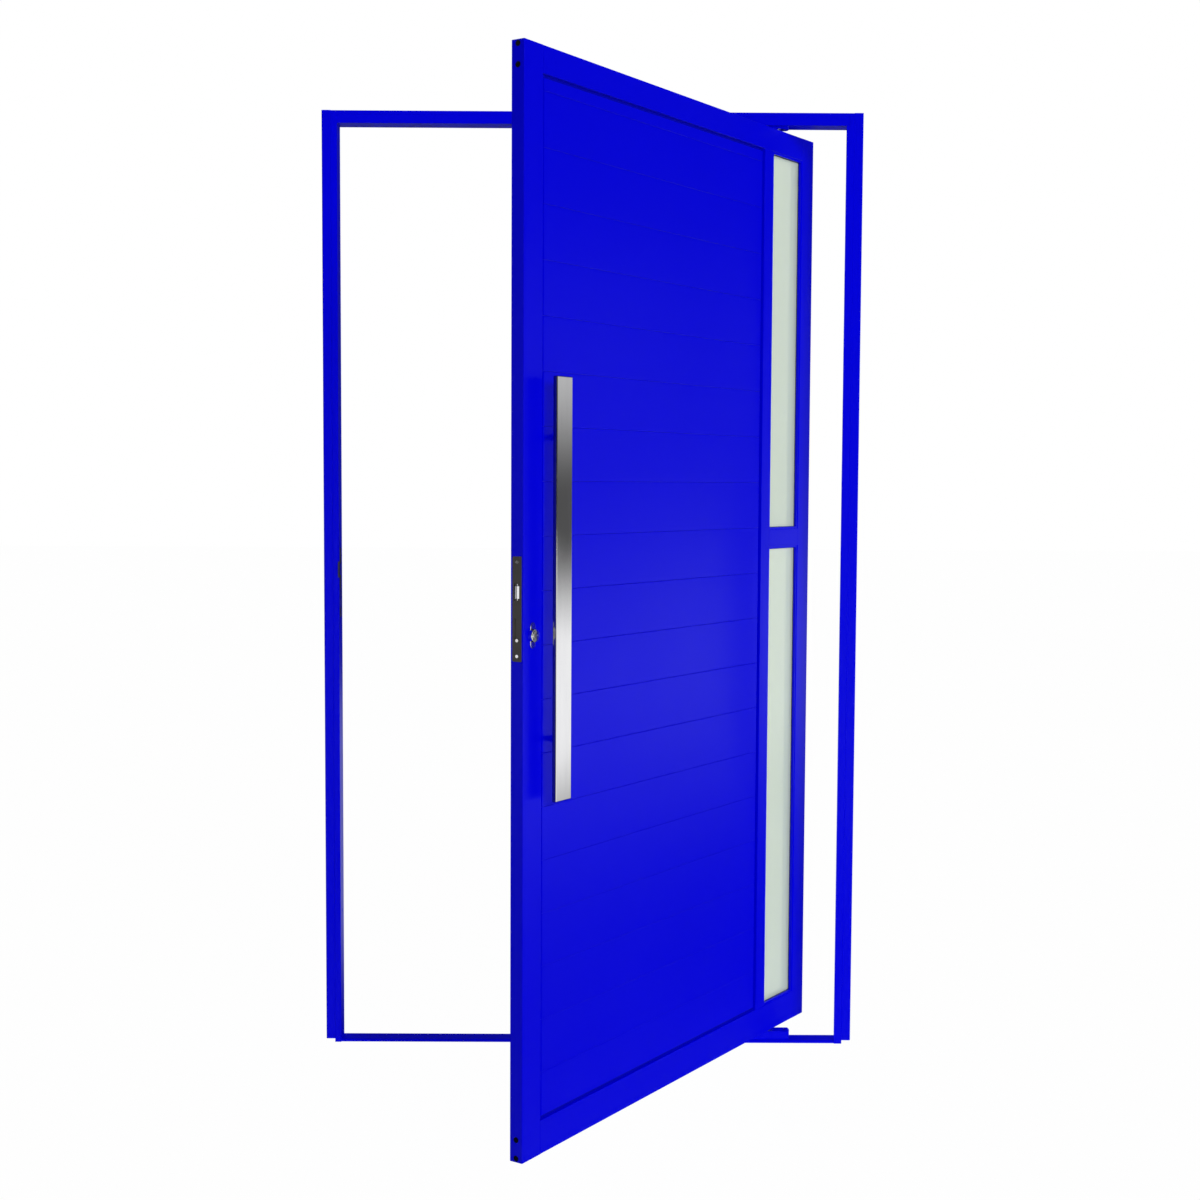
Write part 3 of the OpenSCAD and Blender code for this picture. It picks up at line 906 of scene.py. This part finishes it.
@dataclass
class LockSet:
    """The lock's faceplate, roller, escutcheons and key cylinder, and the strike plate's screws."""

    bench: Bench
    plane: LeafPlane
    plate_corner: float = 3.0 * MM
    slot_gap: float = 0.3 * MM
    screw_inset: float = 10.0 * MM
    cylinder_screw: float = 38.7 * MM
    plate_edge: float = 0.35 * MM
    ear_half: float = 7.5 * MM
    ear_thickness: float = 2.5 * MM
    ear_round: float = 0.6 * MM
    ring_round: float = 1.1 * MM
    key_gap: float = 0.15 * MM
    key_plug_rim: float = 2.3 * MM
    key_plug_sink: float = 0.4 * MM
    keyway_width: float = 1.7 * MM
    keyway_height: float = 8.5 * MM
    keyway_depth: float = 6.0 * MM
    roller_round: float = 0.8 * MM
    roller_end: float = 3.0 * MM

    def faceplate(self) -> None:
        """Builds the faceplate with rounded corners and edges, its two windows and its screws."""
        low, high = self.plane.flat_box("lock_faceplate")
        plate = self.bench.cube("lock_face", low, high)
        self.bench.round_corners(plate, 0, self.plate_corner, 6)
        for node in ("deadbolt", "latch_carriage"):
            part_low, part_high = self.plane.flat_box(node)
            gap = Vector((0.0, self.slot_gap, self.slot_gap))
            reach = Vector((high.x - low.x, 0.0, 0.0))
            cutter = self.bench.cube(
                "window",
                Vector((low.x, part_low.y, part_low.z)) - gap - reach,
                Vector((high.x, part_high.y, part_high.z)) + gap + reach,
            )
            self.bench.bore(plate, cutter)
        self.bench.round_edges(plate, self.plate_edge, 2, 60.0)
        self.bench.move(plate, self.plane.turned())
        self.bench.hand_over(plate, Finish.SATIN, "leaf", ["lock_faceplate"])
        out = Vector((-1.0, 0.0, 0.0))
        places = [
            (Vector((low.x, 0.0, z)), out)
            for z in (low.z + self.screw_inset, low.z + self.cylinder_screw, high.z - self.screw_inset)
        ]
        screws = CrossScrew(self.bench).row("lock_face_screws", places)
        self.bench.move(screws, self.plane.turned())
        self.bench.hand_over(screws, Finish.CHROME, "leaf")

    def escutcheon(self, side: str) -> None:
        """Builds one escutcheon: a thin plate with two ears and a rounded ring.

        Args:
            side: Which face of the leaf it is on.
        """
        node = f"escutcheon_{side}"
        low, high = self.plane.flat_box(node)
        key_low, key_high = self.plane.flat_box("key_cylinder")
        key_radius = (key_high.z - key_low.z) / 2
        x, z = (low.x + high.x) / 2, (low.z + high.z) / 2
        leaf_y, face_y = (high.y, low.y) if side == "front" else (low.y, high.y)
        out = math.copysign(1.0, face_y - leaf_y)
        near, far = sorted((leaf_y, leaf_y + out * self.ear_thickness))
        ears = self.bench.cube("ears", (x - self.ear_half, near, low.z), (x + self.ear_half, far, high.z))
        self.bench.round_corners(ears, 1, 0.99 * self.ear_half, 12)
        self.bench.round_edges(ears, self.ear_round, 3)
        ring = self.bench.rod("ring", (high.x - low.x) / 2, (x, leaf_y, z), (x, face_y, z), 64)
        self.bench.round_edges(ring, self.ring_round, 4)
        for plate in (ears, ring):
            start, end = (x, leaf_y - 0.01 * out, z), (x, face_y + 0.01 * out, z)
            cutter = self.bench.rod("key_hole", key_radius + self.key_gap, start, end, 56)
            self.bench.bore(plate, cutter)
        joined = self.bench.join([ears, ring], f"ringed_escutcheon_{side}")
        self.bench.move(joined, self.plane.turned())
        self.bench.hand_over(joined, Finish.CHROME, "leaf", [node])

    def key_cylinder(self) -> None:
        """Builds the key cylinder with its turning plugs and keyways."""
        low, high = self.plane.flat_box("key_cylinder")
        radius = (high.z - low.z) / 2
        x, z = (low.x + high.x) / 2, (low.z + high.z) / 2
        barrel = self.bench.rod("key_barrel", radius, (x, low.y, z), (x, high.y, z), 56)
        self.bench.inset(barrel, lambda face: abs(face.normal.y) > 0.99, self.key_plug_rim, -self.key_plug_sink)
        for end in (low.y, high.y):
            cutter = self.bench.cube(
                "keyway",
                (x - self.keyway_width / 2, end - self.keyway_depth, z - self.keyway_height / 2),
                (x + self.keyway_width / 2, end + self.keyway_depth, z + self.keyway_height / 2),
            )
            self.bench.bore(barrel, cutter)
        self.bench.move(barrel, self.plane.turned())
        self.bench.hand_over(barrel, Finish.CHROME, "leaf", ["key_cylinder"])

    def roller(self) -> None:
        """Builds the latch roller with rounded rims, on its pin."""
        low, high = self.plane.flat_box("latch_roller")
        radius = (high.y - low.y) / 2
        x, y = (low.x + high.x) / 2, (low.y + high.y) / 2
        end = self.roller_end
        drum = self.bench.rod("drum", radius, (x, y, low.z + end), (x, y, high.z - end), 40)
        self.bench.round_edges(drum, self.roller_round, 3)
        pin = self.bench.rod("pin", radius / 3, (x, y, low.z), (x, y, high.z), 20)
        joined = self.bench.join([drum, pin], "roller_drum")
        self.bench.move(joined, self.plane.turned())
        self.bench.hand_over(joined, Finish.CHROME, "roller", ["latch_roller"])

    def strike_screws(self) -> None:
        """Sets the strike plate's two screws."""
        low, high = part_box("strike_plate")
        face_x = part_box("lock_jamb")[1][0]
        places = [
            (Vector((face_x, 0.0, z)), Vector((1.0, 0.0, 0.0)))
            for z in (low[2] + self.screw_inset, high[2] - self.screw_inset)
        ]
        screws = CrossScrew(self.bench).row("strike_screws", places)
        self.bench.hand_over(screws, Finish.SATIN, "frame")

    def build(self) -> None:
        """Builds the whole lock."""
        self.faceplate()
        for side in ("front", "back"):
            self.escutcheon(side)
        self.key_cylinder()
        self.roller()
        self.strike_screws()


@dataclass
class EdgePlugs:
    """The black plugs over the screws that join rails and stiles."""

    bench: Bench
    plane: LeafPlane
    radius: float = 5.45 * MM
    depth: float = 1.8 * MM
    proud: float = 0.3 * MM
    rim: float = 0.9 * MM
    from_foot: tuple[float, float] = (7.0 * MM, 42.0 * MM)
    from_top: tuple[float, float] = (44.0 * MM, 7.0 * MM)

    def build(self) -> None:
        """Builds a plug once and sets a copy over each screw."""
        low, high = self.plane.flat_box("lock_stile")
        far = self.plane.flat_box("pivot_stile")[1].x
        first = self.bench.rod("plug", self.radius, (0, 0, -self.depth), (0, 0, self.proud), 32)
        self.bench.inset(first, lambda face: face.normal.z > 0.99, self.rim, 0.0)
        self.bench.round_edges(first, self.proud, 2)
        self.bench.inset(first, lambda face: face.normal.z > 0.99, self.rim, -self.proud)
        heights = [low.z + up for up in self.from_foot] + [high.z - down for down in self.from_top]
        plugs = []
        for x, way in ((low.x, -1.0), (far, 1.0)):
            for z in heights:
                facing = Vector((way, 0.0, 0.0)).to_track_quat("Z", "Y").to_matrix().to_4x4()
                matrix = Matrix.Translation(Vector((x, 0.0, z))) @ facing
                plugs.append(self.bench.copy(first, "plug", matrix))
        bpy.data.objects.remove(first)
        joined = self.bench.join(plugs, "screw_plugs")
        self.bench.move(joined, self.plane.turned())
        self.bench.hand_over(joined, Finish.PLASTIC, "leaf", ["edge_plugs"])


@dataclass
class PivotScrews:
    """The screws that hold the two pivot blocks."""

    bench: Bench
    inset: float = 11.0 * MM

    def build(self) -> None:
        """Sets two screws in each block."""
        for node, level, way in (("bottom_pivot_block", 1, 1.0), ("top_pivot_block", 0, -1.0)):
            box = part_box(node)
            y = (box[0][1] + box[1][1]) / 2
            places = [
                (Vector((x, y, box[level][2])), Vector((0.0, 0.0, way)))
                for x in (box[0][0] + self.inset, box[1][0] - self.inset)
            ]
            screws = CrossScrew(self.bench).row(f"{node}_screws", places)
            self.bench.hand_over(screws, Finish.SATIN, "frame")


class CadFinishes:
    """Paints the frame's own nodes."""

    BY_SLOT = {finish.value.slot: finish for finish in reversed(Finish)}

    def __init__(self, shop: Paintshop) -> None:
        """Keeps the paint shop.

        Args:
            shop: Where the materials come from.
        """
        self.shop = shop

    def apply(self) -> None:
        """Paints every node with the finish that its slot names."""
        for part in frame["record"]["subparts"]:
            finish = self.BY_SLOT[part["material_slot"]]
            self.shop.paint(frame["nodes"][part["node"]], finish)
            log.info("%s: %s", part["node"], finish.name.lower())


@dataclass(frozen=True)
class Card:
    """An upright card with a bright foot, a dim middle and a brighter top."""

    name: str
    low: tuple[float, float, float]
    high: tuple[float, float, float]
    middle: float
    rise: float
    upper: tuple[float, float]
    glare: float
    lower: tuple[float, float]

    @classmethod
    def right(cls) -> "Card":
        """Returns the card that the bars' front faces mirror."""
        return cls("right_card", (6.0, 0.7, 0.0), (6.02, 2.1, 2.4), 0.09, 0.5, (1.2, 2.0), 0.95, (0.3, 1.0))

    @classmethod
    def left(cls) -> "Card":
        """Returns the card that the bars' side faces mirror."""
        return cls("left_card", (-6.02, -4.4, 0.0), (-6.0, -2.2, 2.4), 0.005, 0.62, (1.3, 2.0), 1.0, (0.25, 0.95))

    @classmethod
    def behind(cls) -> "Card":
        """Returns the card that the back bar mirrors."""
        return cls("back_card", (6.0, 4.2, 0.0), (6.02, 8.0, 2.4), 0.3, 0.4, (1.2, 2.0), 0.4, (0.3, 1.0))


@dataclass
class Studio:
    """The floor, the backdrop light and the camera."""

    camera_place: tuple[float, float, float] = (0.0057, -3.9408, 1.2815)
    yaw: float = math.radians(-0.23)
    pitch: float = math.radians(-3.86)
    roll: float = math.radians(0.29)
    focal_pixels: float = 1742.0
    picture_pixels: float = 1200.0
    sensor: float = 36.0
    ambient: float = 0.08
    mirrored: float = 0.03
    sun_from: tuple[float, float, float] = (0.46, -0.81, 0.31)
    sun_strength: float = 1.25
    sun_softness: float = math.radians(20.0)
    fill_strength: float = 1.4
    back_from: tuple[float, float, float] = (-0.45, 0.83, 0.33)
    back_strength: float = 1.6
    floor_half: float = 30.0
    floor_glow: float = 0.985
    shade_slope: float = 0.9
    shade_span: tuple[float, float] = (1.7, 4.0)
    behind_slope: float = 0.35
    behind_span: tuple[float, float] = (0.2, 1.5)
    behind_end: tuple[float, float] = (5.0, 8.0)
    behind_glow: float = 0.5

    def camera(self) -> None:
        """Sets the camera where the photograph was taken from."""
        data = bpy.data.cameras.new("camera")
        data.sensor_width = self.sensor
        data.lens = self.sensor * self.focal_pixels / self.picture_pixels
        data.clip_end = 100.0
        camera = bpy.data.objects.new("camera", data)
        bpy.context.scene.collection.objects.link(camera)
        ahead = Vector(
            (
                -math.sin(self.yaw) * math.cos(self.pitch),
                math.cos(self.yaw) * math.cos(self.pitch),
                math.sin(self.pitch),
            )
        )
        level = Vector((math.cos(self.yaw), math.sin(self.yaw), 0.0))
        upward = level.cross(ahead)
        right = math.cos(self.roll) * level + math.sin(self.roll) * upward
        up = -math.sin(self.roll) * level + math.cos(self.roll) * upward
        turn = Matrix((right, up, -ahead)).transposed().to_4x4()
        camera.matrix_world = Matrix.Translation(Vector(self.camera_place)) @ turn
        bpy.context.scene.camera = camera

    def sun(self, name: str, source: Sequence[float], strength: float, shadow: bool) -> None:
        """Adds one plain soft lamp.

        Args:
            name: The lamp's name.
            source: The side that it shines from.
            strength: Its strength.
            shadow: Whether it casts shadows.
        """
        data = bpy.data.lights.new(name, "SUN")
        data.energy = strength
        data.angle = self.sun_softness
        data.use_shadow = shadow
        lamp = bpy.data.objects.new(name, data)
        lamp.rotation_euler = (-Vector(source)).to_track_quat("-Z", "Y").to_euler()
        lamp.visible_glossy = False
        bpy.context.scene.collection.objects.link(lamp)

    def world(self) -> None:
        """Makes a white backdrop that gives only a plain level of light."""
        world = bpy.data.worlds.new("studio")
        world.use_nodes = True
        bpy.context.scene.world = world
        recipe = Recipe(world.node_tree)
        seen, mirrored = self.rays(recipe)
        level = recipe.glow(self.ambient)
        for share, strength in ((mirrored, self.mirrored), (seen, 1.0)):
            level = recipe.merge(share, level, recipe.glow(strength))
        recipe.node("ShaderNodeOutputWorld", {}, {"Surface": level})

    def rays(self, recipe: Recipe) -> tuple[Value, Value]:
        """Tells the rays apart.

        Args:
            recipe: The tree that asks.

        Returns:
            1 for rays from the camera or through glass, and 1 for mirrored rays.
        """
        path = recipe.node("ShaderNodeLightPath", {}, {})
        camera = Value(recipe, path.outputs["Is Camera Ray"])
        through = Value(recipe, path.outputs["Is Transmission Ray"])
        return (camera + through).between(0.0, 1.0), Value(recipe, path.outputs["Is Glossy Ray"])

    def floor(self, bench: Bench) -> None:
        """Lays a pale floor that keeps the door's shadow.

        Args:
            bench: Where the floor is cut.
        """
        bench.clear()
        bpy.ops.mesh.primitive_plane_add(size=2 * self.floor_half, location=(0.0, 0.0, -0.0005))
        floor = bpy.context.object
        floor.name = "studio_floor"
        material, recipe = recipe_for("pale_floor")
        diffuse = recipe.node("ShaderNodeBsdfDiffuse", {}, {"Color": (0.88, 0.88, 0.88, 1.0)}).outputs[0]
        seen, mirrored = self.rays(recipe)
        split = recipe.node("ShaderNodeSeparateXYZ", {}, {"Vector": recipe.place()})
        right, back = Value(recipe, split.outputs["X"]), Value(recipe, split.outputs["Y"])
        lit = (right - self.shade_slope * back).between(*self.shade_span)
        behind = (back - self.behind_slope * right).between(*self.behind_span) * (1.0 - back.between(*self.behind_end))
        tone = lit + self.behind_glow * behind
        level = recipe.merge(self.floor_glow * seen, diffuse, self.emission(recipe, 1.0))
        level = recipe.merge(mirrored, level, self.emission(recipe, tone))
        recipe.node("ShaderNodeOutputMaterial", {}, {"Surface": level})
        floor.data.materials.append(material)

    def emission(self, recipe: Recipe, tone: Any) -> bpy.types.NodeSocket:
        """Gives a grey that shines by itself.

        Args:
            recipe: The tree to add to.
            tone: How bright it is, as a number or a value.

        Returns:
            A shader socket.
        """
        color = (1.0, 1.0, 1.0, 1.0)
        if isinstance(tone, Value):
            color = recipe.blend(tone, (0.0, 0.0, 0.0), (1.0, 1.0, 1.0))
        return recipe.node("ShaderNodeEmission", {}, {"Color": color, "Strength": 1.0}).outputs[0]

    def card(self, bench: Bench, card: Card) -> None:
        """Stands a card out of the camera's sight, for the chrome to mirror.

        Args:
            bench: Where the card is cut.
            card: Its size, place and tones.
        """
        board = bench.cube(card.name, card.low, card.high)
        material, recipe = recipe_for(card.name)
        up = recipe.height()
        tone = card.middle + card.rise * up.between(*card.upper) + card.glare * (1.0 - up.between(*card.lower))
        recipe.node("ShaderNodeOutputMaterial", {}, {"Surface": self.emission(recipe, tone)})
        board.data.materials.append(material)
        board.visible_camera = False
        board.visible_diffuse = False

    def build(self, bench: Bench) -> None:
        """Sets up the whole studio.

        Args:
            bench: Where the stage pieces are cut.
        """
        self.camera()
        self.world()
        self.floor(bench)
        for card in (Card.right(), Card.left(), Card.behind()):
            self.card(bench, card)
        self.sun("sun", self.sun_from, self.sun_strength, True)
        self.sun("fill", self.sun_from, self.fill_strength, False)
        self.sun("back", self.back_from, self.back_strength, False)
        bpy.context.scene.view_settings.view_transform = "Standard"


def main() -> None:
    """Builds and dresses the door."""
    logging.basicConfig(level=logging.INFO, format="%(message)s")
    shop = Paintshop()
    bench = Bench(shop)
    plane = LeafPlane()
    Studio().build(bench)
    CadFinishes(shop).apply()
    SlatBoards(bench, plane).build()
    PullBars(bench, plane).build()
    LockSet(bench, plane).build()
    EdgePlugs(bench, plane).build()
    PivotScrews(bench).build()


if __name__ == "__main__":
    main()
